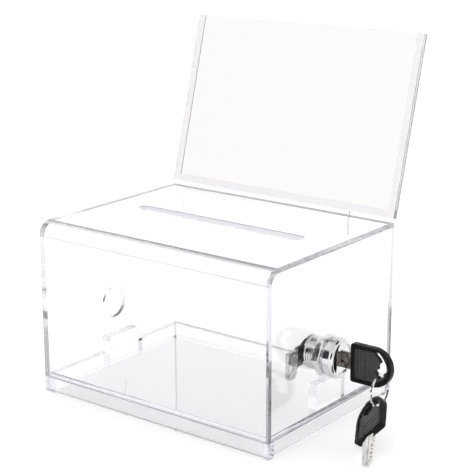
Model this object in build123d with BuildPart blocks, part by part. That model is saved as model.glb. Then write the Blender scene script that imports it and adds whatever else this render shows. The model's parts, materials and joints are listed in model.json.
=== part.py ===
"""Clear acrylic donation box: open base, lift-off shell with a header, side cam lock and two keys.

Millimetres. The origin is the centre of the base's underside, +X runs along the front towards
the lock, +Y towards the back and +Z up.
"""

from build123d import *
import os
from math import cos, radians, sin

# ---- driving dimensions: acrylic box ----
box_width = 158.0  # X
box_depth = 117.0  # Y
box_height = 100.0  # Z
sheet = 2.5  # wall, top and floor sheet
bend_radius = 8.0  # outer radius of the bend from front to top
bond_gap = 0.05  # adhesive line between two bonded pieces
joint_gap = 0.1  # dry joint between the lift-off shell and its base
polish = 0.25  # flame-polished edge of a sheet
rail_height = 9.0
rail_thickness = 5.0
floor_clearance = 0.3  # floor panel inside the shell walls
slot_length = 114.0
slot_width = 7.2
slot_centre_y = 2.0

# ---- driving dimensions: blocks on the base ----
wall_clearance = 0.8  # block to the inside of a shell wall
tab_thickness = 6.0
tab_height = 9.7
tab_front_y = -12.4
tab_back_y = 16.0
tab_round = 4.0
catch_front_y = -13.0
catch_back_y = 14.0
catch_wall = 5.0
catch_step_y = 9.4  # the shelf starts behind this, clear of the cam's arm
catch_drop = 12.7  # the shelf's underside below the lock's axis: the hook turns in beneath it
catch_shelf = 3.0
catch_reach = 17.5

# ---- driving dimensions: header ----
header_tilt = 15.4  # degrees back from upright
header_length = 105.5
header_back_sheet_thickness = 1.5
header_front_sheet_thickness = 1.0
header_spacer = 0.8
header_strip = 4.5
tongue_width = 98.0
tongue_bottom = 86.0
tongue_bend_height = 99.3
header_bend_radius = 3.0
header_shoulder = 2.8  # length of the leaf between the bend and the wide part

# ---- driving dimensions: cam lock, on an axis along X ----
lock_height = 39.0
wall_hole_radius = 9.5
thread_radius = 9.2
bezel_radius = 11.2
bezel_round = 2.7
bezel_length = 6.2
barrel_end_x = 63.2
nut_flats = 20.6
nut_thickness = 4.4
star_washer_radius = 10.4
star_washer_teeth = 16
star_washer_thickness = 0.9
plug_radius = 6.0
plug_bore_radius = 6.05
plug_head_radius = 8.2
plug_head_length = 1.6
stop_lug_radius = 8.1
stop_lug_length = 0.95
stop_lug_gap = 55.0  # degrees from +Y to the middle of the first stop lug
stop_ear_half_angle = 17.0
tail_flats = 6.0
tail_radius = 4.5
keyway_width = 2.4
keyway_height = 8.6
wafer_count = 5
wafer_pitch = 2.6
wafer_thickness = 1.0
wafer_slot = 1.1  # slot in the plug for one wafer
wafer_width = 6.0
wafer_height = 10.2
window_width = 2.3
window_height = 8.2
spring_notch = 4.4
spring_notch_width = 1.3
spring_offset = 2.35  # from the wafer's middle to its spring
spring_radius = 0.5
cam_thickness = 2.0
cam_outer_x = 61.9
cam_joggle = 1.5
cam_hub_radius = 6.8
cam_arm_top = 4.6
cam_end_top = 4.2
cam_arm_low = 6.4
cam_end_y = -21.4
cam_hook_width = 8.0
cam_hook_drop = 11.2
cam_hook_round = 2.8

# ---- driving dimensions: keys and ring ----
head_width = 21.4
head_straight = 14.0
head_thickness = 3.8
head_recess = 0.6
head_rim = 2.4
blade_length = 20.8
blade_height = 7.6
blade_thickness = 1.9
blade_stop_height = 8.8  # the taller part between the head and the plug's face
blade_stop_length = 5.9
blade_root = 9.0  # hidden part of the blade inside the head
shank_height = 6.5  # of that hidden part
blade_taper = 3.0
blade_tip_height = 1.6
wafer_cut_width = 1.3
wafer_cut_least = 1.2
groove_width = 1.3
groove_depth = 0.5
groove_offset = 0.9
ring_radius = 8.8  # centre line
ring_wire = 0.6
ring_x = 108.2
ring_grip = 3.7  # ring's top wire below the lock's axis, in the low end of the key's hole

# ---- worked out from them ----
half_width = box_width / 2
half_depth = box_depth / 2
inner_x = half_width - sheet
inner_y = half_depth - sheet
floor_bottom = rail_height + bond_gap
floor_top = floor_bottom + sheet
shell_bottom = rail_height + joint_gap
wall_top = box_height - sheet - bond_gap
key_shoulder_x = half_width + bezel_length + 5.6
ring_centre_z = lock_height - ring_grip - ring_radius

os.makedirs("parts", exist_ok=True)


# ---- base: rails, floor panel, locating tab and catch ----
with BuildPart() as floor_panel:
    with BuildSketch(Plane.XY.offset(floor_bottom)):
        Rectangle(2 * (inner_x - floor_clearance), 2 * (inner_y - floor_clearance))
    extrude(amount=sheet)
    chamfer(floor_panel.faces().sort_by(Axis.Z)[-1].edges(), polish)
floor_panel.part.label = "floor_panel"
export_step(floor_panel.part, "parts/floor_panel.step")

for rail_name, side in (("base_front_rail", -1), ("base_back_rail", 1)):
    with BuildPart() as long_rail:
        with BuildSketch(Plane.XY):
            with Locations((0, side * (half_depth - rail_thickness / 2))):
                Rectangle(box_width, rail_thickness)
        extrude(amount=rail_height)
        chamfer(long_rail.edges().filter_by(Axis.X), polish)
    long_rail.part.label = rail_name
    export_step(long_rail.part, f"parts/{rail_name}.step")

side_rail_length = box_depth - 2 * rail_thickness - 2 * bond_gap
for rail_name, side in (("base_left_rail", -1), ("base_right_rail", 1)):
    with BuildPart() as side_rail:
        with BuildSketch(Plane.XY):
            with Locations((side * (half_width - rail_thickness / 2), 0)):
                Rectangle(rail_thickness, side_rail_length)
        extrude(amount=rail_height)
        chamfer(side_rail.edges().filter_by(Axis.Y), polish)
    side_rail.part.label = rail_name
    export_step(side_rail.part, f"parts/{rail_name}.step")

tab_length = tab_back_y - tab_front_y
tab_outer_x = -(inner_x - wall_clearance)
with BuildPart() as left_locating_tab:
    with BuildSketch(Plane.YZ.offset(tab_outer_x)):
        with Locations(((tab_front_y + tab_back_y) / 2, floor_top + bond_gap + tab_height / 2)):
            Rectangle(tab_length, tab_height)
    extrude(amount=tab_thickness)
    tab_top_edges = left_locating_tab.faces().sort_by(Axis.Z)[-1].edges().filter_by(Axis.X)
    fillet(tab_top_edges.sort_by(Axis.Y)[-1], tab_round)
    fillet(tab_top_edges.sort_by(Axis.Y)[0], tab_round / 4)
left_locating_tab.part.label = "left_locating_tab"
export_step(left_locating_tab.part, "parts/left_locating_tab.step")

catch_outer_x = inner_x - wall_clearance
shelf_bottom = lock_height - catch_drop
shelf_top = shelf_bottom + catch_shelf
catch_foot = floor_top + bond_gap
with BuildPart() as right_catch_bracket:
    with BuildSketch(Plane.YZ.offset(catch_outer_x)):
        with Locations(((catch_front_y + catch_back_y) / 2, (catch_foot + shelf_bottom) / 2)):
            Rectangle(catch_back_y - catch_front_y, shelf_bottom - catch_foot)
    extrude(amount=-catch_wall)
    with BuildSketch(Plane.YZ.offset(catch_outer_x)):
        with Locations(((catch_step_y + catch_back_y) / 2, (shelf_bottom + shelf_top) / 2)):
            Rectangle(catch_back_y - catch_step_y, catch_shelf)
    extrude(amount=-catch_reach)
    fillet(right_catch_bracket.edges().filter_by(Axis.X).sort_by(Axis.Y)[0], 1.5)
right_catch_bracket.part.label = "right_catch_bracket"
export_step(right_catch_bracket.part, "parts/right_catch_bracket.step")


# ---- shell: bent front and top, sides with lock holes, back ----
inner_bend = bend_radius - sheet
with BuildPart() as front_top_panel:
    with BuildSketch(Plane.YZ.offset(-half_width)):
        with BuildLine():
            Line((-half_depth, shell_bottom), (-half_depth, box_height - bend_radius))
            RadiusArc((-half_depth, box_height - bend_radius), (bend_radius - half_depth, box_height), bend_radius)
            Line((bend_radius - half_depth, box_height), (half_depth, box_height))
            Line((half_depth, box_height), (half_depth, box_height - sheet))
            Line((half_depth, box_height - sheet), (bend_radius - half_depth, box_height - sheet))
            RadiusArc((bend_radius - half_depth, box_height - sheet), (-inner_y, box_height - bend_radius), -inner_bend)
            Line((-inner_y, box_height - bend_radius), (-inner_y, shell_bottom))
            Line((-inner_y, shell_bottom), (-half_depth, shell_bottom))
        make_face()
    extrude(amount=box_width)
    with BuildSketch(Plane.XY.offset(box_height)):
        with Locations((0, slot_centre_y)):
            SlotOverall(slot_length, slot_width)
    extrude(amount=-2 * sheet, mode=Mode.SUBTRACT)
    chamfer(front_top_panel.faces().sort_by(Axis.Y)[-1].edges().filter_by(Axis.X), polish)
front_top_panel.part.label = "front_top_panel"
export_step(front_top_panel.part, "parts/front_top_panel.step")

side_front_y = -(inner_y - bond_gap)
side_back_y = inner_y - bond_gap
side_corner = inner_bend - bond_gap
for panel_name, outer_x, inward in (("left_side_panel", -half_width, 1), ("right_side_panel", half_width, -1)):
    with BuildPart() as side_panel:
        with BuildSketch(Plane.YZ.offset(outer_x)):
            with BuildLine():
                Line((side_front_y, shell_bottom), (side_front_y, wall_top - side_corner))
                RadiusArc((side_front_y, wall_top - side_corner), (side_front_y + side_corner, wall_top), side_corner)
                Line((side_front_y + side_corner, wall_top), (side_back_y, wall_top))
                Line((side_back_y, wall_top), (side_back_y, shell_bottom))
                Line((side_back_y, shell_bottom), (side_front_y, shell_bottom))
            make_face()
            with Locations((0, lock_height)):
                Circle(wall_hole_radius, mode=Mode.SUBTRACT)
        extrude(amount=inward * sheet)
    side_panel.part.label = panel_name
    export_step(side_panel.part, f"parts/{panel_name}.step")

with BuildPart() as back_panel:
    with BuildSketch(Plane.XZ.offset(-half_depth)):
        with Locations((0, (shell_bottom + wall_top) / 2)):
            Rectangle(box_width, wall_top - shell_bottom)
    extrude(amount=sheet)
    chamfer(back_panel.faces().sort_by(Axis.Y)[-1].edges().filter_by(Axis.X), polish)
back_panel.part.label = "back_panel"
export_step(back_panel.part, "parts/back_panel.step")


# ---- header: a bent leaf on the back wall, with a clear pocket for a card ----
leaf_y = half_depth + bond_gap
tilt_sin = sin(radians(header_tilt))
tilt_cos = cos(radians(header_tilt))


def on_header(along, behind):
    """The (Y, Z) point so far up the tilted leaf, and so far behind its front face."""
    y = leaf_y + along * tilt_sin + behind * tilt_cos
    z = tongue_bend_height + along * tilt_cos - behind * tilt_sin
    return (y, z)


def header_plane(along, behind):
    """A plane in the tilted header: its x is the box's X, its y runs up the header."""
    y, z = on_header(along, behind)
    return Plane(origin=(0, y, z), x_dir=(1, 0, 0), z_dir=(0, -tilt_cos, tilt_sin))


wide_length = header_length - header_shoulder
back_bend = header_bend_radius + header_back_sheet_thickness
leaf_back_y = leaf_y + header_back_sheet_thickness
with BuildPart() as header_back_sheet:
    with BuildSketch(Plane.YZ.offset(-half_width)):
        with BuildLine():
            FilletPolyline(
                (leaf_y, tongue_bottom),
                (leaf_y, tongue_bend_height),
                on_header(header_length, 0),
                radius=back_bend,
            )
            Line(on_header(header_length, 0), on_header(header_length, header_back_sheet_thickness))
            FilletPolyline(
                on_header(header_length, header_back_sheet_thickness),
                (leaf_back_y, tongue_bend_height - header_back_sheet_thickness * tilt_sin / (1 + tilt_cos)),
                (leaf_back_y, tongue_bottom),
                radius=header_bend_radius,
            )
            Line((leaf_back_y, tongue_bottom), (leaf_y, tongue_bottom))
        make_face()
    extrude(amount=box_width)
    notch_width = (box_width - tongue_width) / 2
    notch_height = tongue_bend_height - tongue_bottom + 2 * header_shoulder
    with BuildSketch(header_plane(header_shoulder, -5)):
        for side in (-1, 1):
            with Locations((side * (half_width - notch_width / 2), -notch_height / 2)):
                Rectangle(notch_width, notch_height)
    extrude(amount=-25, mode=Mode.SUBTRACT)
header_back_sheet.part.label = "header_back_sheet"
export_step(header_back_sheet.part, "parts/header_back_sheet.step")

spacer_face = -(header_spacer + bond_gap)
with BuildPart() as header_front_sheet:
    with BuildSketch(header_plane(header_shoulder, spacer_face - bond_gap)):
        with Locations((0, wide_length / 2)):
            Rectangle(box_width, wide_length)
    extrude(amount=header_front_sheet_thickness)
    chamfer(header_front_sheet.faces().sort_by(Axis.Z)[-1].edges().filter_by(Axis.X), polish)
header_front_sheet.part.label = "header_front_sheet"
export_step(header_front_sheet.part, "parts/header_front_sheet.step")

strip_length = wide_length - header_strip - bond_gap
for strip_name, side in (("header_left_strip", -1), ("header_right_strip", 1)):
    with BuildPart() as side_strip:
        with BuildSketch(header_plane(header_shoulder + header_strip + bond_gap, -bond_gap)):
            with Locations((side * (half_width - header_strip / 2), strip_length / 2)):
                Rectangle(header_strip, strip_length)
        extrude(amount=header_spacer)
    side_strip.part.label = strip_name
    export_step(side_strip.part, f"parts/{strip_name}.step")

with BuildPart() as header_bottom_strip:
    with BuildSketch(header_plane(header_shoulder, -bond_gap)):
        with Locations((0, header_strip / 2)):
            Rectangle(box_width, header_strip)
    extrude(amount=header_spacer)
header_bottom_strip.part.label = "header_bottom_strip"
export_step(header_bottom_strip.part, "parts/header_bottom_strip.step")


# ---- cam lock: housing, nut and star washer stay in the wall ----
def lock_plane(x):
    """A plane across the lock's axis at x: its x is the box's Y and its y is up."""
    return Plane(origin=(x, 0, lock_height), x_dir=(0, 1, 0), z_dir=(1, 0, 0))


bezel_face_x = half_width + bezel_length
plug_seat_x = bezel_face_x - plug_head_length
with BuildPart() as lock_housing:
    with BuildSketch(lock_plane(barrel_end_x)):
        Circle(thread_radius)
    extrude(amount=half_width - barrel_end_x)
    with BuildSketch(lock_plane(half_width + bond_gap)):
        Circle(bezel_radius)
    extrude(amount=bezel_length - bond_gap)
    with BuildSketch(lock_plane(half_width)):
        Circle(thread_radius)
    extrude(amount=bond_gap)
    for lug_angle in (stop_lug_gap, 270 - stop_lug_gap):
        with BuildSketch(lock_plane(barrel_end_x)):
            with PolarLocations(stop_lug_radius, 1, start_angle=lug_angle):
                Rectangle(1.8, 3.0)
        extrude(amount=-stop_lug_length)
    bezel_rim = lock_housing.edges().filter_by(GeomType.CIRCLE).sort_by(Axis.X)[-1]
    fillet(bezel_rim, bezel_round)
    with BuildSketch(lock_plane(barrel_end_x)):
        Circle(plug_bore_radius)
    extrude(amount=bezel_face_x - barrel_end_x, mode=Mode.SUBTRACT)
    with BuildSketch(lock_plane(bezel_face_x)):
        Circle(plug_head_radius + 0.05)
    extrude(amount=-plug_head_length - 0.1, mode=Mode.SUBTRACT)
lock_housing.part.label = "lock_housing"
export_step(lock_housing.part, "parts/lock_housing.step")

star_washer_x = inner_x - bond_gap
with BuildPart() as lock_star_washer:
    with BuildSketch(lock_plane(star_washer_x)):
        Circle(star_washer_radius)
        Circle(thread_radius + 0.1, mode=Mode.SUBTRACT)
        with PolarLocations(star_washer_radius, star_washer_teeth):
            Rectangle(1.2, 1.4, mode=Mode.SUBTRACT)
    extrude(amount=-star_washer_thickness)
lock_star_washer.part.label = "lock_star_washer"
export_step(lock_star_washer.part, "parts/lock_star_washer.step")

nut_outer_x = star_washer_x - star_washer_thickness - bond_gap
with BuildPart() as lock_nut:
    with BuildSketch(lock_plane(nut_outer_x)):
        RegularPolygon(nut_flats / 2, 6, major_radius=False)
        Circle(thread_radius + 0.02, mode=Mode.SUBTRACT)
    extrude(amount=-nut_thickness)
lock_nut.part.label = "lock_nut"
export_step(lock_nut.part, "parts/lock_nut.step")


# ---- cam lock: what turns with the key ----
stop_washer_outer_x = barrel_end_x - 0.15
stop_washer_thickness = 0.9
spring_washer_outer_x = cam_outer_x - cam_thickness - bond_gap
spring_washer_thickness = 0.9
tail_end_x = cam_outer_x - cam_thickness + 0.1
wafer_stack_x = 70.6


def tail_outline(clearance):
    """Two flats on a round: the plug's driving tail, or the hole it drives."""
    with BuildSketch(Plane.XY, mode=Mode.PRIVATE) as outline:
        Circle(tail_radius + clearance)
        Rectangle(2 * (tail_radius + clearance), tail_flats + 2 * clearance, mode=Mode.INTERSECT)
    return outline.sketch


with BuildPart() as lock_plug:
    with BuildSketch(lock_plane(barrel_end_x)):
        Circle(plug_radius)
    extrude(amount=bezel_face_x - barrel_end_x - 0.6)
    with BuildSketch(lock_plane(plug_seat_x)):
        Circle(plug_head_radius)
    extrude(amount=plug_head_length - 0.6)
    with BuildSketch(lock_plane(barrel_end_x)):
        add(tail_outline(0))
    extrude(amount=tail_end_x - barrel_end_x)
    with BuildSketch(lock_plane(bezel_face_x)):
        Rectangle(keyway_width, keyway_height)
    extrude(amount=barrel_end_x + 1.0 - bezel_face_x, mode=Mode.SUBTRACT)
    for index in range(wafer_count):
        with BuildSketch(lock_plane(wafer_stack_x + index * wafer_pitch)):
            Rectangle(wafer_width + 0.2, 2 * plug_radius)
        extrude(amount=wafer_slot, mode=Mode.SUBTRACT)
    with BuildSketch(lock_plane(tail_end_x)):
        Circle(1.7)
    extrude(amount=6.0, mode=Mode.SUBTRACT)
lock_plug.part.label = "lock_plug"
export_step(lock_plug.part, "parts/lock_plug.step")

with BuildPart() as wafer_tumblers:
    for index in range(wafer_count):
        with BuildSketch(lock_plane(wafer_stack_x + index * wafer_pitch + 0.05)):
            Rectangle(wafer_width, wafer_height)
            Rectangle(window_width, window_height, mode=Mode.SUBTRACT)
            with Locations((-spring_offset, 0)):
                Rectangle(spring_notch_width, spring_notch, mode=Mode.SUBTRACT)
        extrude(amount=wafer_thickness)
wafer_tumblers.part.label = "wafer_tumblers"
export_step(wafer_tumblers.part, "parts/wafer_tumblers.step")

with BuildPart() as wafer_springs:
    for index in range(wafer_count):
        spring_x = wafer_stack_x + index * wafer_pitch + wafer_slot / 2
        with BuildSketch(Plane.XY.offset(lock_height - spring_notch / 2 + 0.1)):
            with Locations((spring_x, -spring_offset)):
                Circle(spring_radius)
                Circle(spring_radius / 2, mode=Mode.SUBTRACT)
        extrude(amount=spring_notch - 0.2)
wafer_springs.part.label = "wafer_springs"
export_step(wafer_springs.part, "parts/wafer_springs.step")

ear_outer = stop_lug_radius + 0.9
with BuildPart() as cam_stop_washer:
    with BuildSketch(lock_plane(stop_washer_outer_x)):
        Circle(6.9)
        with BuildLine():
            ear_start = (ear_outer * sin(radians(-stop_ear_half_angle)), ear_outer * cos(radians(stop_ear_half_angle)))
            ear_end = (-ear_start[0], ear_start[1])
            Polyline((0, 0), ear_start)
            ThreePointArc(ear_start, (0, ear_outer), ear_end)
            Polyline(ear_end, (0, 0))
        make_face()
        add(tail_outline(0.05), mode=Mode.SUBTRACT)
    extrude(amount=-stop_washer_thickness)
cam_stop_washer.part.label = "cam_stop_washer"
export_step(cam_stop_washer.part, "parts/cam_stop_washer.step")

cam_inner_x = cam_outer_x - cam_thickness
hook_y = cam_end_y + cam_hook_width
with BuildPart() as lock_cam:
    with BuildSketch(Plane.XY.offset(lock_height - 20)):
        with BuildLine():
            Polyline(
                (cam_inner_x, 10),
                (cam_outer_x, 10),
                (cam_outer_x, hook_y + 3.6),
                (cam_outer_x + cam_joggle, hook_y + 0.6),
                (cam_outer_x + cam_joggle, cam_end_y - 1),
                (cam_inner_x + cam_joggle, cam_end_y - 1),
                (cam_inner_x + cam_joggle, hook_y),
                (cam_inner_x, hook_y + 3.0),
                close=True,
            )
        make_face()
    extrude(amount=40)
    with BuildSketch(lock_plane(cam_inner_x - 1)) as cam_outline:
        with BuildLine():
            Polyline(
                (0, cam_arm_top),
                (cam_end_y, cam_end_top),
                (cam_end_y, -cam_hook_drop),
                (hook_y, -cam_hook_drop),
                (hook_y, -cam_arm_low),
                (0, -cam_hub_radius),
                close=True,
            )
        make_face()
        hook_tip = cam_outline.vertices().group_by(Axis.Y)[0]
        fillet(hook_tip, cam_hook_round)
        Circle(cam_hub_radius)
        add(tail_outline(0.05), mode=Mode.SUBTRACT)
    extrude(amount=cam_thickness + cam_joggle + 2, mode=Mode.INTERSECT)
lock_cam.part.label = "lock_cam"
export_step(lock_cam.part, "parts/lock_cam.step")

spring_washer_radius = 5.6
spring_washer_hole = 1.8
spring_washer_split = 0.7
with BuildPart() as cam_spring_washer:
    with BuildSketch(lock_plane(spring_washer_outer_x)):
        Circle(spring_washer_radius)
        Circle(spring_washer_hole, mode=Mode.SUBTRACT)
        with Locations((spring_washer_radius - spring_washer_hole, 0)):
            Rectangle(spring_washer_radius - 1.2, spring_washer_split, mode=Mode.SUBTRACT)
    extrude(amount=-spring_washer_thickness)
cam_spring_washer.part.label = "cam_spring_washer"
export_step(cam_spring_washer.part, "parts/cam_spring_washer.step")

screw_seat_x = spring_washer_outer_x - spring_washer_thickness - bond_gap
screw_head_radius = 3.6
screw_head_height = 2.4
screw_shank_radius = 1.65
screw_length = 6.5
cross_length = 4.4
cross_width = 0.9
cross_depth = 1.3
with BuildPart() as cam_screw:
    with BuildSketch(lock_plane(screw_seat_x)):
        Circle(screw_head_radius)
    extrude(amount=-screw_head_height)
    fillet(cam_screw.edges().filter_by(GeomType.CIRCLE).sort_by(Axis.X)[0], screw_head_height / 2)
    with BuildSketch(lock_plane(screw_seat_x)):
        Circle(screw_shank_radius)
    extrude(amount=screw_length)
    with BuildSketch(lock_plane(screw_seat_x - screw_head_height)):
        Rectangle(cross_length, cross_width)
        Rectangle(cross_width, cross_length)
    extrude(amount=cross_depth, mode=Mode.SUBTRACT)
cam_screw.part.label = "cam_screw"
export_step(cam_screw.part, "parts/cam_screw.step")


# ---- keys: a steel blade moulded into a black D-shaped head ----
key_a_frame = Plane(origin=(key_shoulder_x, 0, lock_height), x_dir=(1, 0, 0), z_dir=(0, -1, 0))

# the second key hangs askew on the ring, its tip just above the table
ring_angle = radians(-37.8)  # where it hangs, from the ring's lowest point towards the front
hang_y = ring_radius * sin(ring_angle)
hang_z = ring_centre_z - ring_radius * cos(ring_angle)
hang_along = 19.6  # the wire in the hole, from the head's shoulder
hang_across = 1.6
key_b_towards_head = Vector(-0.442, 0.805, 0.396)
key_b_across = Vector(0.69, 0.022, 0.724)
key_b_normal = key_b_towards_head.cross(key_b_across)
hang_point = Vector(ring_x, hang_y, hang_z)
key_b_shoulder = hang_point - key_b_towards_head * hang_along - key_b_across * hang_across
key_b_frame = Plane(origin=key_b_shoulder, x_dir=key_b_towards_head, z_dir=key_b_normal)


def head_outline(inset):
    """A D: straight sides, a round end away from the blade and softened corners beside it."""
    half = head_width / 2 - inset
    with BuildSketch(Plane.XY, mode=Mode.PRIVATE) as outline:
        with BuildLine():
            Line((head_straight, half), (inset, half))
            Line((inset, half), (inset, -half))
            Line((inset, -half), (head_straight, -half))
            ThreePointArc((head_straight, -half), (head_straight + half, 0), (head_straight, half))
        make_face()
        fillet(outline.vertices().group_by(Axis.X)[0], 1.4)
    return outline.sketch


# the wavy hole: a slanting upper lobe and three rounds below it, from the head's shoulder
hole_lobe_arc = ((16.3, 7.6), (19.2, 4.4), (20.1, 0.6))
hole_lobe_width = 2.9
hole_rounds = (((19.3, 0.6), 2.8), ((18.0, -3.2), 2.1), ((16.2, -1.8), 1.2))
rib_count = 3
rib_start = 4.6
rib_pitch = 2.6
rib_width = 1.0
rib_height = 0.3
rib_length = head_width - 2 * head_rim - 4
pocket_fit = 0.03


def key_head(frame):
    """The moulded head: a raised rim, a ribbed recess, the ring's wavy hole and the blade's pocket."""
    half = head_thickness / 2
    with BuildPart() as head:
        with BuildSketch(frame.offset(-half)):
            add(head_outline(0))
        extrude(amount=head_thickness)
        for face, inward in ((half, -1), (-half, 1)):
            with BuildSketch(frame.offset(face)):
                add(head_outline(head_rim))
            extrude(amount=inward * head_recess, mode=Mode.SUBTRACT)
            with BuildSketch(frame.offset(face + inward * head_recess)):
                for rib in range(rib_count):
                    with Locations((rib_start + rib_pitch * rib, 0)):
                        Rectangle(rib_width, rib_length)
            extrude(amount=-inward * rib_height)
        with BuildSketch(frame.offset(-half)):
            with BuildLine() as upper_lobe:
                ThreePointArc(*hole_lobe_arc)
            SlotArc(upper_lobe.edges()[0], hole_lobe_width)
            for centre, radius in hole_rounds:
                with Locations(centre):
                    Circle(radius)
        extrude(amount=head_thickness, mode=Mode.SUBTRACT)
        with BuildSketch(frame.offset(-blade_thickness / 2 - pocket_fit)):
            with Locations(((blade_root + bond_gap) / 2, 0)):
                Rectangle(blade_root + bond_gap, shank_height + 2 * bond_gap)
        extrude(amount=blade_thickness + 2 * pocket_fit, mode=Mode.SUBTRACT)
    return head.part


def key_blade(frame):
    """The blade: a shank for the head, wafer cuts on one edge and a milled groove on both faces."""
    half = blade_height / 2
    half_shank = shank_height / 2
    half_stop = blade_stop_height / 2
    half_tip = blade_tip_height / 2
    with BuildPart() as blade:
        with BuildSketch(frame.offset(-blade_thickness / 2)):
            with BuildLine():
                Polyline(
                    (blade_root, half_shank),
                    (0, half_shank),
                    (0, half_stop),
                    (-blade_stop_length, half_stop),
                    (-blade_stop_length, half),
                    (blade_taper - blade_length, half),
                    (-blade_length, half_tip),
                    (-blade_length, -half_tip),
                    (blade_taper - blade_length, -half),
                    (-blade_stop_length, -half),
                    (-blade_stop_length, -half_stop),
                    (0, -half_stop),
                    (0, -half_shank),
                    (blade_root, -half_shank),
                    close=True,
                )
            make_face()
            for index in range(wafer_count):
                cut_centre = wafer_stack_x + wafer_slot / 2 + index * wafer_pitch - key_shoulder_x
                with Locations((cut_centre, half)):
                    Rectangle(wafer_cut_width, wafer_cut_least + index % 3, mode=Mode.SUBTRACT)
        extrude(amount=blade_thickness)
        for face, inward in ((blade_thickness / 2, -1), (-blade_thickness / 2, 1)):
            with BuildSketch(frame.offset(face)):
                with Locations((-blade_length / 2 - 0.5, inward * groove_offset)):
                    Rectangle(blade_length - 1, groove_width)
            extrude(amount=inward * groove_depth, mode=Mode.SUBTRACT)
    return blade.part


for key_name, frame in (("key_a", key_a_frame), ("key_b", key_b_frame)):
    head_part = key_head(frame)
    head_part.label = f"{key_name}_head"
    export_step(head_part, f"parts/{key_name}_head.step")
    blade_part = key_blade(frame)
    blade_part.label = f"{key_name}_blade"
    export_step(blade_part, f"parts/{key_name}_blade.step")

with BuildPart(Plane(origin=(ring_x, 0, ring_centre_z), x_dir=(0, 1, 0), z_dir=(1, 0, 0))) as key_ring:
    Torus(ring_radius, ring_wire)
key_ring.part.label = "key_ring"
export_step(key_ring.part, "parts/key_ring.step")
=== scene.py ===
"""The looks of the clear acrylic donation box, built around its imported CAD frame. Metres."""

import bmesh
import bpy
import json
import numpy
from math import cos, pi, radians, sin
from mathutils import Matrix, Vector


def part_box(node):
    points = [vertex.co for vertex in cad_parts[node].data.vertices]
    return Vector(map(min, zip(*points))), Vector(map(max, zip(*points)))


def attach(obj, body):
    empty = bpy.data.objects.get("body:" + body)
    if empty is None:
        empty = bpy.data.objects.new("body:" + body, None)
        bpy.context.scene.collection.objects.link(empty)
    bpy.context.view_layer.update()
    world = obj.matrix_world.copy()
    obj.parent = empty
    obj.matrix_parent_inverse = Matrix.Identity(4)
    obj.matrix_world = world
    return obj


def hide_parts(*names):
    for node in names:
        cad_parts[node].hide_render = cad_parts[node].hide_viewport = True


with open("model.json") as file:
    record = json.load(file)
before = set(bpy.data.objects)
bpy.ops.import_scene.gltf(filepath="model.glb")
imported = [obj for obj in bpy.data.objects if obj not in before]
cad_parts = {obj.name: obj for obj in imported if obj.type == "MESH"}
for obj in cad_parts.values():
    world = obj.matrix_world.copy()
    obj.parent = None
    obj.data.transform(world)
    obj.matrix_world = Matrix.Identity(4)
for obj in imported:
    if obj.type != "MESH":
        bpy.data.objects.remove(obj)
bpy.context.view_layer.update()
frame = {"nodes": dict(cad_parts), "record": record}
MM = 0.001

# ---- places read from the frame ----
wall_face_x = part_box("right_side_panel")[1].x
housing_low, housing_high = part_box("lock_housing")
lock_y = (housing_low.y + housing_high.y) / 2
lock_z = (housing_low.z + housing_high.z) / 2
bezel_radius = (housing_high.z - housing_low.z) / 2
bezel_face_x = housing_high.x
ring_low, ring_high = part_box("key_ring")
ring_centre = (ring_low + ring_high) / 2

# ---- dimensions of the clear sheets, in mm ----
half_length = wall_face_x / MM
top_z = 100.0
wall_foot = 9.5  # a wall's bottom edge lies below this
slot_centre_y = 2.0
slot_half_width = 3.6
slot_half_length = 57.0
eased_width = 0.45
touching = 0.1  # how close to a face counts as on it
round_slot = 0.6  # how far round the slot its rim and wall are looked for

# ---- dimensions of the lock's barrel, in mm ----
barrel_end_x = 63.2
barrel_end_radius = 8.5
barrel_bore = 6.05
thread_radius = 9.15
thread_depth = 0.45
thread_pitch = 1.5
thread_start = 64.2
thread_end = 75.6
thread_rows = 78
bezel_round = 2.7
face_seat_radius = 8.25
face_seat_depth = 1.7
face_lip = 0.1
lug_angles = (55, 215)
lug_inner_radius = 7.2
lug_outer_radius = 9.0
lug_half_width = 1.5
lug_length = 0.95
lug_root = 0.2

# ---- dimensions of the split ring and the key heads, in mm ----
coil_inset = 0.62
wire_half_width = 0.25
wire_half_height = 0.36
coil_shift = 0.27
head_half_thickness = 1.9
head_face_depth = 0.25
head_voxel = 0.2


# ---- shader nodes ----
def new_material(name):
    """A material with its Principled shader, ready for more nodes."""
    material = bpy.data.materials.new(name)
    material.use_nodes = True
    nodes = material.node_tree.nodes
    return material, nodes, material.node_tree.links, nodes["Principled BSDF"]


def noise(nodes, links, scale, detail=4.0, stretch=(1, 1, 1), distortion=0.0):
    """Noise in object space, where one unit is a metre, stretched along an axis if asked."""
    place = nodes.new("ShaderNodeTexCoord")
    mapping = nodes.new("ShaderNodeMapping")
    mapping.inputs["Scale"].default_value = stretch
    texture = nodes.new("ShaderNodeTexNoise")
    texture.inputs["Scale"].default_value = scale
    texture.inputs["Detail"].default_value = detail
    texture.inputs["Distortion"].default_value = distortion
    links.new(place.outputs["Object"], mapping.inputs["Vector"])
    links.new(mapping.outputs["Vector"], texture.inputs["Vector"])
    return texture.outputs["Fac"]


def ramp(nodes, links, source, stops):
    """A ramp of grey or coloured stops: (position, value) or (position, (r, g, b))."""
    node = nodes.new("ShaderNodeValToRGB")
    elements = node.color_ramp.elements
    while len(elements) < len(stops):
        elements.new(0.5)
    for element, (position, value) in zip(elements, stops):
        element.position = position
        rgb = value if isinstance(value, tuple) else (value, value, value)
        element.color = (*rgb, 1.0)
    links.new(source, node.inputs["Fac"])
    return node.outputs["Color"]


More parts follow.
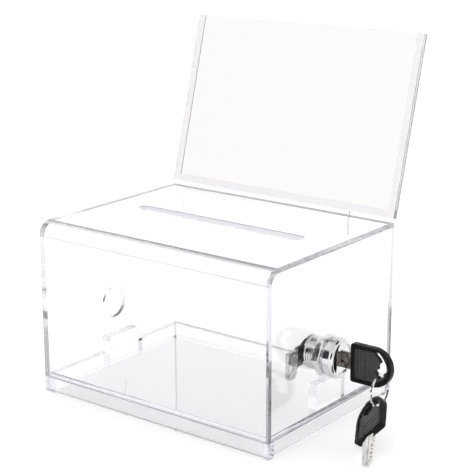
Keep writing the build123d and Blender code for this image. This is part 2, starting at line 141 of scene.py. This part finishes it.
def bump(nodes, links, height, strength, distance, below=None):
    """A bump from a height, over another bump if one is given."""
    node = nodes.new("ShaderNodeBump")
    node.inputs["Strength"].default_value = strength
    node.inputs["Distance"].default_value = distance
    links.new(height, node.inputs["Height"])
    if below is not None:
        links.new(below, node.inputs["Normal"])
    return node.outputs["Normal"]


# ---- materials ----
white = (1.0, 1.0, 1.0)
acrylic_ior = 1.49
# colour of the painted glow an acrylic face gets when its glow is above 0
edge_glow = (0.97, 0.97, 1.0, 1.0)
shade_through = (0.6, 0.6, 0.61, 1.0)  # how much light a clear face lets into its shadow
sheet_tint = (0.86, 0.865, 0.91)
polished = (0.0, 0.035)
cut_gloss = (0.10, 0.24)
along_key = (1, 0.2, 0.2)


def acrylic(name, colour=white, gloss=polished, clear_part=1.0, glow=0.0, tint=sheet_tint, density=6.0):
    """Clear sheet: slightly wavy, with faint hairlines, and darker along its length.

    gloss is the least and most roughness. clear_part below 1 leaves some of the surface matt, as a cut
    edge is. tint and density say how the light fades along the inside of the sheet."""
    material, nodes, links, shader = new_material(name)
    shader.inputs["Base Color"].default_value = (*colour, 1.0)
    shader.inputs["Transmission Weight"].default_value = clear_part
    shader.inputs["IOR"].default_value = acrylic_ior
    shader.inputs["Emission Color"].default_value = edge_glow
    # painted light: a glow above 0 makes the face shine faintly on its own
    shader.inputs["Emission Strength"].default_value = glow
    hairlines = noise(nodes, links, 900.0, detail=2.0, stretch=(1.0, 0.06, 0.06), distortion=0.4)
    scuffs = noise(nodes, links, 60.0, detail=5.0)
    links.new(ramp(nodes, links, scuffs, [(0.45, gloss[0]), (0.8, gloss[1])]), shader.inputs["Roughness"])
    waves = bump(nodes, links, noise(nodes, links, 9.0, detail=1.0), strength=0.05, distance=0.002)
    scratches = bump(nodes, links, hairlines, strength=0.01, distance=0.00005, below=waves)
    links.new(scratches, shader.inputs["Normal"])
    light_path = nodes.new("ShaderNodeLightPath")
    clear = nodes.new("ShaderNodeBsdfTransparent")
    clear.inputs["Color"].default_value = shade_through
    either = nodes.new("ShaderNodeMixShader")
    links.new(light_path.outputs["Is Shadow Ray"], either.inputs["Fac"])
    links.new(shader.outputs["BSDF"], either.inputs[1])
    links.new(clear.outputs["BSDF"], either.inputs[2])
    links.new(either.outputs["Shader"], nodes["Material Output"].inputs["Surface"])
    absorption = nodes.new("ShaderNodeVolumeAbsorption")
    absorption.inputs["Color"].default_value = (*tint, 1.0)
    absorption.inputs["Density"].default_value = density
    links.new(absorption.outputs["Volume"], nodes["Material Output"].inputs["Volume"])
    return material


def plated(name, dark, bright, smooth, rough, brushed=(1, 1, 1), marked=0.25):
    """Plated metal: cloudy colour, smudged gloss and fine tool marks."""
    material, nodes, links, shader = new_material(name)
    shader.inputs["Metallic"].default_value = 1.0
    clouds = noise(nodes, links, 180.0, detail=5.0)
    links.new(ramp(nodes, links, clouds, [(0.35, dark), (0.65, bright)]), shader.inputs["Base Color"])
    smudges = noise(nodes, links, 420.0, detail=6.0, stretch=brushed)
    links.new(ramp(nodes, links, smudges, [(0.35, smooth), (0.7, rough)]), shader.inputs["Roughness"])
    marks = noise(nodes, links, 2600.0, detail=3.0, stretch=brushed)
    links.new(bump(nodes, links, marks, marked, distance=0.00002), shader.inputs["Normal"])
    return material


def hub_shaded_steel(name):
    """The cam's steel, darkened by painted shade towards its hub and left the plating's grey along the
    hook.
    """
    # painted shade: the near-black hub colour stands in for the shade and dark reflections beside the
    # barrel and nut
    painted_hub_shade = (0.055, 0.053, 0.052, 1.0)
    painted_shade_start_y = -13.2 * MM
    painted_shade_full_y = -11.4 * MM
    painted_shade_wander = 1.5 * MM
    material = plated(name, (0.42, 0.42, 0.43), (0.66, 0.66, 0.67), 0.08, 0.2)
    nodes = material.node_tree.nodes
    links = material.node_tree.links
    shader = nodes["Principled BSDF"]
    plating = shader.inputs["Base Color"].links[0].from_socket
    place = nodes.new("ShaderNodeTexCoord")
    split = nodes.new("ShaderNodeSeparateXYZ")
    links.new(place.outputs["Object"], split.inputs["Vector"])
    wander = nodes.new("ShaderNodeMath")
    wander.operation = "MULTIPLY_ADD"
    wander.inputs[1].default_value = painted_shade_wander
    links.new(noise(nodes, links, 500.0, detail=3.0), wander.inputs[0])
    links.new(split.outputs["Y"], wander.inputs[2])
    shaded_part = nodes.new("ShaderNodeMapRange")
    shaded_part.inputs["From Min"].default_value = painted_shade_start_y
    shaded_part.inputs["From Max"].default_value = painted_shade_full_y
    links.new(wander.outputs["Value"], shaded_part.inputs["Value"])
    mix = nodes.new("ShaderNodeMix")
    mix.data_type = "RGBA"
    mix.inputs["B"].default_value = painted_hub_shade
    links.new(shaded_part.outputs["Result"], mix.inputs["Factor"])
    links.new(plating, mix.inputs["A"])
    links.new(mix.outputs["Result"], shader.inputs["Base Color"])
    return material


def moulded_black(name, dark, bright, smooth, rough, gloss):
    """Black moulded plastic: fine pebbled skin, faint flow marks and rubbed patches."""
    material, nodes, links, shader = new_material(name)
    flow = noise(nodes, links, 120.0, detail=5.0, stretch=(1, 0.4, 1), distortion=0.6)
    links.new(ramp(nodes, links, flow, [(0.3, dark), (0.75, bright)]), shader.inputs["Base Color"])
    rubbed = noise(nodes, links, 350.0)
    links.new(ramp(nodes, links, rubbed, [(0.35, smooth), (0.7, rough)]), shader.inputs["Roughness"])
    shader.inputs["Specular IOR Level"].default_value = gloss
    pebbles = noise(nodes, links, 4200.0, detail=2.0)
    links.new(bump(nodes, links, pebbles, strength=0.35, distance=0.00004), shader.inputs["Normal"])
    return material


def table_paint(name):
    """Pale matt studio floor with the faintest mottling, lit a little from below."""
    material, nodes, links, shader = new_material(name)
    mottling = noise(nodes, links, 14.0)
    links.new(ramp(nodes, links, mottling, [(0.3, 0.90), (0.7, 0.92)]), shader.inputs["Base Color"])
    grain = noise(nodes, links, 300.0, detail=3.0)
    links.new(bump(nodes, links, grain, strength=0.05, distance=0.0001), shader.inputs["Normal"])
    shader.inputs["Roughness"].default_value = 0.8
    shader.inputs["Specular IOR Level"].default_value = 0.2
    shader.inputs["Emission Color"].default_value = (*white, 1.0)
    shader.inputs["Emission Strength"].default_value = 0.44
    return material


clear_sheet = acrylic("clear_sheet")
base_sheet = acrylic("base_sheet", (0.990, 0.986, 1.0), tint=(0.87, 0.87, 0.93), density=7.0)
header_sheet = acrylic("header_sheet", (0.973, 0.967, 0.969), tint=(0.90, 0.88, 0.89), density=9.0)
cut_edge = acrylic("cut_edge", (0.90, 0.90, 0.91), cut_gloss)
# painted shade: the low edges are a matt cut finish painted dark grey for the shadow and refraction along
# the joint with the base
low_edge = acrylic("low_edge", (0.40, 0.40, 0.42), cut_gloss, clear_part=0.35)
rim_edge = acrylic("rim_edge", (0.46, 0.46, 0.49), cut_gloss, clear_part=0.35)
bent_sheet = acrylic("bent_sheet", (0.985, 0.985, 0.99), (0.16, 0.26))
# painted light: the sawn slot wall glows faintly, standing in for the light falling into the slot
sawn_edge = acrylic("sawn_edge", (0.93, 0.93, 0.965), (0.16, 0.30), clear_part=0.4, glow=0.17)
chrome = plated("chrome", (0.64, 0.64, 0.65), (0.80, 0.80, 0.81), 0.01, 0.05, marked=0.06)
# the cam's steel carries painted shade that darkens it towards its hub
cam_steel = hub_shaded_steel("cam_steel")
zinc = plated("zinc", (0.50, 0.50, 0.51), (0.68, 0.68, 0.69), 0.05, 0.16)
dark_nickel = plated("dark_nickel", (0.10, 0.083, 0.076), (0.24, 0.205, 0.19), 0.12, 0.3, along_key)
nickel = plated("nickel", (0.62, 0.61, 0.60), (0.80, 0.79, 0.77), 0.10, 0.24, along_key)
brass = plated("brass", (0.55, 0.42, 0.18), (0.78, 0.62, 0.30), 0.2, 0.35)
black_plastic = moulded_black("black_plastic", (0.022, 0.022, 0.023), (0.036, 0.036, 0.037), 0.34, 0.5, 0.5)
# painted shade: the rim's darker colour and weak specular stand in for the shade on the head's rounded
# edge; its smoother gloss is the moulding's own
rim_plastic = moulded_black("rim_plastic", (0.005, 0.005, 0.006), (0.010, 0.010, 0.011), 0.24, 0.36, 0.1)
slot_materials = {
    "clear_acrylic": base_sheet,
    "header_acrylic": header_sheet,
    "chrome_plate": chrome,
    "zinc_plate": zinc,
    "brass_wafer": brass,
    "key_steel": nickel,
    "ring_steel": chrome,
    "key_plastic": black_plastic,
}

node_slot = {part["node"]: part["material_slot"] for part in frame["record"]["subparts"]}
for node, shown in frame["nodes"].items():
    material = base_sheet if node == "header_bottom_strip" else slot_materials[node_slot[node]]
    for index in range(len(shown.material_slots)):
        shown.material_slots[index].link = "OBJECT"
        shown.material_slots[index].material = material


# ---- tools for the pieces shaped more finely than the CAD ones they stand for ----
def add_piece(name, mesh, body, stands_for, materials):
    """Puts a mesh in the scene as a piece of the object, in place of a CAD node."""
    piece = bpy.data.objects.new(name, mesh)
    bpy.context.scene.collection.objects.link(piece)
    for material in materials:
        mesh.materials.append(material)
    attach(piece, body)
    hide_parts(stands_for)


def shade(mesh, sharp_degrees=32):
    """Smooth shading, broken at sharp edges."""
    mesh.polygons.foreach_set("use_smooth", [True] * len(mesh.polygons))
    mesh.set_sharp_from_angle(angle=radians(sharp_degrees))


def solid_mesh(name, vertices, faces, sharp_degrees):
    """A mesh with its normals facing out, shaded smooth between sharp edges."""
    mesh = bpy.data.meshes.new(name)
    mesh.from_pydata(vertices, [], faces)
    work = bmesh.new()
    work.from_mesh(mesh)
    bmesh.ops.recalc_face_normals(work, faces=work.faces)
    work.to_mesh(mesh)
    work.free()
    shade(mesh, sharp_degrees)
    return mesh


def welded_copy(node):
    """The node's mesh in the row frame, welded and with its flat faces whole."""
    shown = frame["nodes"][node]
    mesh = shown.data.copy()
    mesh.transform(shown.matrix_world)
    work = bmesh.new()
    work.from_mesh(mesh)
    bmesh.ops.remove_doubles(work, verts=work.verts, dist=0.002 * MM)
    bmesh.ops.dissolve_limit(work, angle_limit=radians(0.5), verts=work.verts, edges=work.edges)
    clean = bpy.data.meshes.new(node + "_shape")
    work.to_mesh(clean)
    work.free()
    return clean


def applied(mesh, modifiers):
    """The mesh after modifiers, each given as (type, settings)."""
    holder = bpy.data.objects.new("holder", mesh)
    bpy.context.scene.collection.objects.link(holder)
    for kind, settings in modifiers:
        modifier = holder.modifiers.new(kind, kind)
        for key, value in settings.items():
            setattr(modifier, key, value)
    graph = bpy.context.evaluated_depsgraph_get()
    result = bpy.data.meshes.new_from_object(holder.evaluated_get(graph))
    bpy.data.objects.remove(holder)
    return result


def broken_edges(node, name, body, width, material):
    """A copy of a node with its sharp edges broken, as on a real pressed or turned piece."""
    bevel = {"width": width * MM, "segments": 2, "limit_method": "ANGLE", "angle_limit": radians(32)}
    mesh = applied(welded_copy(node), [("BEVEL", bevel)])
    shade(mesh)
    add_piece(name, mesh, body, node, [material])


# ---- the lock's barrel ----
def on_lock_axis(x, across, up):
    """A place given in mm from the lock's axis, in the row frame."""
    return (x * MM, lock_y + across * MM, lock_z + up * MM)


def thread_cut(x, angle):
    """Depth of a rolled thread's groove, fading in and out at the ends."""
    fade = min(1, max(0, (x - thread_start) / thread_pitch), max(0, (thread_end - x) / thread_pitch))
    turn = x / thread_pitch - angle / (2 * pi)
    return thread_depth * fade * (0.5 + 0.5 * cos(2 * pi * turn))


def barrel_profile():
    """The barrel's section as (x, radius): back edge, thread, domed bezel, face seat and bore."""
    face = bezel_face_x / MM
    wall = wall_face_x / MM
    radius = bezel_radius / MM
    profile = [
        (barrel_end_x, barrel_bore),
        (barrel_end_x, barrel_end_radius),
        (barrel_end_x + 0.5, thread_radius - 0.05),
    ]
    for row in range(thread_rows):
        along = thread_start + (thread_end - thread_start) * row / (thread_rows - 1)
        profile.append((along, thread_radius))
    profile += [(wall - 0.1, thread_radius), (wall + 0.02, radius - 0.25), (wall + 0.22, radius)]
    for turn in range(0, 91, 10):
        away = radians(turn)
        across = radius - bezel_round + bezel_round * cos(away)
        profile.append((face - bezel_round + bezel_round * sin(away), across))
    profile += [
        (face, face_seat_radius + face_lip),
        (face - 0.12, face_seat_radius),
        (face - face_seat_depth, face_seat_radius),
        (face - face_seat_depth, barrel_bore),
    ]
    return profile


def lathe(profile, steps):
    """Vertices and faces of a ring-shaped solid about the lock's axis, grooved where it is threaded."""
    vertices = []
    for x, radius in profile:
        for step in range(steps):
            angle = 2 * pi * step / steps
            depth = thread_cut(x, angle) if radius == thread_radius else 0
            out = radius - depth
            vertices.append(on_lock_axis(x, out * cos(angle), out * sin(angle)))
    faces = []
    rows = len(profile)
    for row in range(rows):
        after = (row + 1) % rows
        for step in range(steps):
            beside = (step + 1) % steps
            near_pair = (row * steps + step, after * steps + step)
            faces.append((*near_pair, after * steps + beside, row * steps + beside))
    return vertices, faces


def barrel_mesh():
    """The turned barrel with the two lugs at its back that stop the cam."""
    vertices, faces = lathe(barrel_profile(), steps=96)
    lug_corners = [
        (lug_inner_radius, -lug_half_width),
        (lug_outer_radius, -lug_half_width),
        (lug_outer_radius, lug_half_width),
        (lug_inner_radius, lug_half_width),
    ]
    for lug_angle in lug_angles:
        turned = Matrix.Rotation(radians(lug_angle), 3, "X")
        start = len(vertices)
        for x in (barrel_end_x - lug_length, barrel_end_x + lug_root):
            for out, along in lug_corners:
                spot = turned @ Vector((0, out, along))
                vertices.append(on_lock_axis(x, spot.y, spot.z))
        faces += [(start, start + 1, start + 2, start + 3), (start + 7, start + 6, start + 5, start + 4)]
        for side in range(4):
            beside = (side + 1) % 4
            faces.append((start + beside, start + side, start + 4 + side, start + 4 + beside))
    return solid_mesh("lock_barrel", vertices, faces, sharp_degrees=24)


# ---- the split ring ----
def split_ring_mesh():
    """Two turns of flat spring wire side by side, with a step where one turn runs into the next."""
    coil_radius = (ring_high.z - ring_low.z) / 2 / MM - coil_inset
    steps = 220
    first = radians(200)
    end_gap = radians(14)
    step_start = 0.47
    step_length = 0.06
    section = [(0.7, 1), (1, 0.7), (1, -0.7), (0.7, -1), (-0.7, -1), (-1, -0.7), (-1, 0.7), (-0.7, 1)]
    vertices = []
    for step in range(steps + 1):
        part = step / steps
        angle = first + part * (4 * pi - end_gap)
        cross = min(1, max(0, (part - step_start) / step_length))
        cross = cross * cross * (3 - 2 * cross)
        side = coil_shift * (2 * cross - 1)
        for across, out in section:
            radius = coil_radius + wire_half_height * out
            spot = Vector((side + wire_half_width * across, radius * sin(angle), radius * cos(angle)))
            vertices.append(ring_centre + spot * MM)
    corners = len(section)
    first_end = tuple(range(corners))
    last_end = tuple(steps * corners + corner for corner in reversed(range(corners)))
    faces = [first_end, last_end]
    for step in range(steps):
        for corner in range(corners):
            beside = (corner + 1) % corners
            low = step * corners
            faces.append((low + corner, low + corners + corner, low + corners + beside, low + beside))
    return solid_mesh("split_ring_coils", vertices, faces, sharp_degrees=50)


# ---- the key heads ----
def soft_head(node, name, body):
    """A key head with the rounded edges of a moulding: a glossy rim painted dark as shade, round a pebbled
    face.
    """
    remesh = {"mode": "VOXEL", "voxel_size": head_voxel * MM, "use_smooth_shade": True}
    mesh = applied(welded_copy(node), [("REMESH", remesh), ("SMOOTH", {"factor": 0.5, "iterations": 5})])
    points = numpy.array([tuple(vertex.co) for vertex in mesh.vertices])
    middle = points.mean(axis=0)
    thinnest = numpy.linalg.eigh(numpy.cov((points - middle).T))[1][:, 0]
    thickness = Vector(thinnest)
    face_height = head_half_thickness * MM - head_face_depth * MM
    for polygon in mesh.polygons:
        off = abs((polygon.center - Vector(middle)).dot(thickness))
        facing = abs(polygon.normal.dot(thickness))
        polygon.material_index = 1 if facing > 0.6 and off < face_height else 0
        polygon.use_smooth = True
    add_piece(name, mesh, body, node, [rim_plastic, black_plastic])


# ---- the clear sheets, each face by its finish ----
FACE, CUT, LOW, BEND, SLOT_WALL, RIM = range(6)
sheet_finishes = [clear_sheet, cut_edge, low_edge, bent_sheet, sawn_edge, rim_edge]
SQUARE = 0.7  # a normal with more than this along an axis looks along it


def by_slot(spot):
    """Whether a place is inside or on the slot's outline."""
    along = abs(spot.x) < slot_half_length + round_slot
    return along and abs(spot.y - slot_centre_y) < slot_half_width + round_slot


def on_slot_rim(spot):
    """Whether a place is on the slot's upper edge."""
    return by_slot(spot) and spot.z > top_z - touching


def at_rail_end(spot):
    """Whether a place is on an end face of the front rail."""
    return abs(spot.x) > half_length - touching


def shell_finish(centre, normal):
    """Cut edges, the heat-bent strip and the slot's wall and rim; the rest is polished sheet."""
    if by_slot(centre) and abs(normal.z) < 0.5:
        return SLOT_WALL
    if by_slot(centre) and abs(normal.z) < 0.9:
        return RIM
    if centre.z < wall_foot:
        return LOW
    if abs(normal.x) > SQUARE:
        return CUT
    return BEND if abs(normal.y) > 0.04 and abs(normal.z) > 0.04 else FACE


def wall_finish(centre, normal, axis):
    """Polished faces across an axis, cut edges, and the seam where the wall stands on the base, painted
    dark grey as its shade.
    """
    if abs(normal[axis]) > SQUARE:
        return FACE
    return LOW if centre.z < wall_foot else CUT


def side_finish(centre, normal):
    """A side wall's finish."""
    return wall_finish(centre, normal, 0)


def back_finish(centre, normal):
    """The back wall's finish."""
    return wall_finish(centre, normal, 1)


def leaf_finish(centre, normal):
    """A header leaf or spacer: cut at its two long ends."""
    return CUT if abs(normal.x) > SQUARE else FACE


def rail_finish(centre, normal):
    """The front rail: only the eased edges of its ends are cut."""
    return CUT if 0.3 < abs(normal.x) < 0.95 else FACE


def ease_rim(mesh, on_rim):
    """Breaks the edges of a sheet that lie on a rim."""
    work = bmesh.new()
    work.from_mesh(mesh)
    rim = [edge for edge in work.edges if all(on_rim(vertex.co / MM) for vertex in edge.verts)]
    width = eased_width * MM
    bmesh.ops.bevel(work, geom=rim, offset=width, segments=1, affect="EDGES", clamp_overlap=True)
    work.to_mesh(mesh)
    work.free()


def edged_sheet(node, name, materials, pick, rim=None, body="shell"):
    """A copy of a sheet in several finishes, with pick giving each face's place in materials."""
    mesh = welded_copy(node)
    if rim:
        ease_rim(mesh, rim)
    for polygon in mesh.polygons:
        polygon.material_index = pick(polygon.center / MM, polygon.normal)
        polygon.use_smooth = polygon.material_index in (BEND, SLOT_WALL)
    add_piece(name, mesh, body, node, materials)


wall_sheets = [clear_sheet, cut_edge, low_edge]
rail_sheets = [base_sheet, rim_edge]
leaf_sheets = [header_sheet, cut_edge]
spacer_sheets = [clear_sheet, cut_edge]
edged_sheet("left_side_panel", "left_side_sheet", wall_sheets, side_finish)
edged_sheet("right_side_panel", "right_side_sheet", wall_sheets, side_finish)
edged_sheet(
    "base_front_rail", "front_rail_strip", rail_sheets, rail_finish, at_rail_end, "base"
)
edged_sheet("back_panel", "back_sheet", wall_sheets, back_finish)
edged_sheet(
    "front_top_panel", "front_top_sheet", sheet_finishes, shell_finish, on_slot_rim
)
edged_sheet("header_back_sheet", "header_tall_sheet", leaf_sheets, leaf_finish)
edged_sheet("header_left_strip", "header_left_spacer", spacer_sheets, leaf_finish)
edged_sheet("header_right_strip", "header_right_spacer", spacer_sheets, leaf_finish)
edged_sheet("header_front_sheet", "header_cover_sheet", leaf_sheets, leaf_finish)
add_piece("lock_barrel", barrel_mesh(), "shell", "lock_housing", [chrome])
add_piece("split_ring_coils", split_ring_mesh(), "split_ring", "key_ring", [chrome])
soft_head("key_a_head", "key_a_moulding", "key_a")
soft_head("key_b_head", "key_b_moulding", "key_b")
broken_edges("lock_nut", "lock_hex_nut", "shell", 0.35, chrome)
broken_edges("lock_star_washer", "lock_tooth_washer", "shell", 0.1, zinc)
broken_edges("lock_plug", "lock_plug_turned", "lock_rotor", 0.12, chrome)
broken_edges("lock_cam", "cam_pressing", "lock_rotor", 0.25, cam_steel)
broken_edges("cam_stop_washer", "cam_stop_pressing", "lock_rotor", 0.1, zinc)
broken_edges("cam_spring_washer", "cam_spring_pressing", "lock_rotor", 0.12, zinc)
broken_edges("cam_screw", "cam_cross_screw", "lock_rotor", 0.12, zinc)
broken_edges("key_a_blade", "key_a_steel", "key_a", 0.1, dark_nickel)
broken_edges("key_b_blade", "key_b_steel", "key_b", 0.1, nickel)

# ---- studio ----
floor_reach = 4.0
floor_corners = [(-floor_reach, -floor_reach, 0), (floor_reach, -floor_reach, 0)]
floor_corners += [(floor_reach, floor_reach, 0), (-floor_reach, floor_reach, 0)]
floor_mesh = bpy.data.meshes.new("studio_floor")
floor_mesh.from_pydata(floor_corners, [], [(0, 1, 2, 3)])
floor_mesh.materials.append(table_paint("studio_paint"))
studio_floor = bpy.data.objects.new("studio_floor", floor_mesh)
bpy.context.scene.collection.objects.link(studio_floor)
studio_floor.location.z = -0.05 * MM

# Cards in the bright surround for the chrome to reflect: direction, half angle in degrees, and brightness.
dark_cards = [
    ((-0.589, -0.72, 0.30), 21.0, 0.0),
    ((0.589, -0.74, 0.30), 17.0, 0.0),
    ((0.35, 0.29, 0.89), 15.0, 0.0),
    ((-0.589, 0.30, 0.75), 8.0, 0.4),
    ((-0.589, 0.61, 0.53), 6.0, 0.55),
]
surround_strength = 1.12


def light_studio():
    """A bright white surround with a dimmer ceiling and the dark cards."""
    world = bpy.data.worlds.new("studio")
    bpy.context.scene.world = world
    world.use_nodes = True
    nodes = world.node_tree.nodes
    links = world.node_tree.links
    place = nodes.new("ShaderNodeTexCoord")
    split = nodes.new("ShaderNodeSeparateXYZ")
    links.new(place.outputs["Generated"], split.inputs["Vector"])
    light = ramp(nodes, links, split.outputs["Z"], [(0.55, 1.0), (0.85, 0.8), (1.0, 0.7)])
    for direction, half_angle, level in dark_cards:
        facing = nodes.new("ShaderNodeVectorMath")
        facing.operation = "DOT_PRODUCT"
        links.new(place.outputs["Generated"], facing.inputs[0])
        facing.inputs[1].default_value = Vector(direction).normalized()
        edge = (1 + cos(radians(half_angle))) / 2
        half = nodes.new("ShaderNodeMath")
        half.operation = "MULTIPLY_ADD"
        half.inputs[1].default_value = 0.5
        half.inputs[2].default_value = 0.5
        links.new(facing.outputs["Value"], half.inputs[0])
        card = ramp(nodes, links, half.outputs["Value"], [(edge - 0.004, 1.0), (edge + 0.001, level)])
        both = nodes.new("ShaderNodeVectorMath")
        both.operation = "MULTIPLY"
        links.new(light, both.inputs[0])
        links.new(card, both.inputs[1])
        light = both.outputs["Vector"]
    links.new(light, nodes["Background"].inputs["Color"])
    nodes["Background"].inputs["Strength"].default_value = surround_strength


light_studio()

# ---- camera ----
azimuth = radians(37.72)
elevation = radians(15.62)
roll = radians(-0.19)
focal_length = 104.28
camera_distance = 0.7895
camera_aim = Vector((-0.0073, 0.0242, 0.0844))
back = Vector((sin(azimuth) * cos(elevation), -cos(azimuth) * cos(elevation), sin(elevation)))
level_right = Vector((cos(azimuth), sin(azimuth), 0))
level_up = back.cross(level_right)
right = level_right * cos(roll) + level_up * sin(roll)
up = level_up * cos(roll) - level_right * sin(roll)
camera_turn = Matrix((right, up, back)).transposed().to_4x4()
camera_data = bpy.data.cameras.new("camera")
camera_data.sensor_width = 36.0
camera_data.lens = focal_length
camera = bpy.data.objects.new("camera", camera_data)
bpy.context.scene.collection.objects.link(camera)
camera.matrix_world = Matrix.Translation(camera_aim + back * camera_distance) @ camera_turn
bpy.context.scene.camera = camera

# ---- light goes through many clear faces, and along the sheets ----
clear_bounces = 128
scene = bpy.context.scene
scene.cycles.max_bounces = clear_bounces
scene.cycles.transmission_bounces = clear_bounces
scene.cycles.glossy_bounces = clear_bounces
scene.cycles.transparent_max_bounces = 40
scene.view_settings.view_transform = "Standard"
